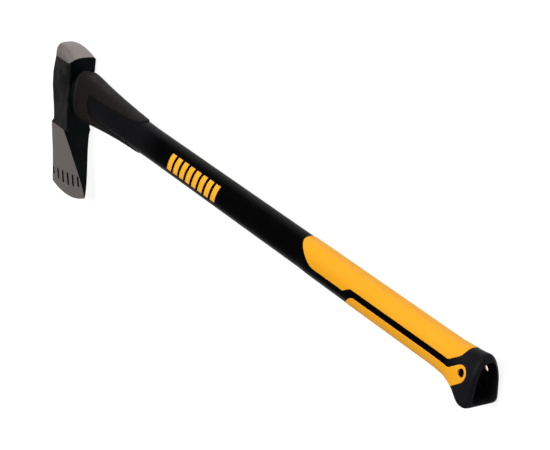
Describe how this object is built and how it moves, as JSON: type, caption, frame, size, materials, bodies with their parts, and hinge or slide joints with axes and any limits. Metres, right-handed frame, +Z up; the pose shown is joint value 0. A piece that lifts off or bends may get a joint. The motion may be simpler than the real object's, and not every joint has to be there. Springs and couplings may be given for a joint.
{
  "type": "splitting maul",
  "caption": "Two-handed splitting maul: wedge-shaped forged head with a crowned poll on a long straight composite handle with overstrike collar, soft grip and hollow flared butt.",
  "frame": {"origin": "bottom centre of the bounding box, with the maul lying on its side", "axes": "+X along the handle from the head to the butt, +Y towards the poll, +Z up through the thickness of the head, the shortest side"},
  "size_m": [0.935, 0.218, 0.0464],
  "materials": {
    "forged_steel": "black painted forged steel, poll and bit ground bare",
    "fibreglass": "pultruded glass fibre rod",
    "overlay": "wrapped fibre and resin skin",
    "epoxy": "cured bonding resin",
    "plug": "moulded nylon",
    "seal": "matt moulded rubber",
    "jacket": "satin black injection moulded nylon",
    "collar": "matt brown-grey moulded rubber",
    "grip_yellow": "fine-textured yellow soft-touch overmould",
    "knob": "matt black soft-touch moulding"
  },
  "bodies": {
    "root": {"head": "forged_steel", "core_rod": "fibreglass", "core_overlay": "overlay", "eye_epoxy": "epoxy", "eye_plug": "plug", "eye_seal": "seal", "core_end_plug": "plug", "shaft_jacket": "jacket", "overstrike_collar": "collar", "grip_saddle": "grip_yellow", "grip_belly": "grip_yellow", "butt_knob": "knob"}
  },
  "joints": []
}
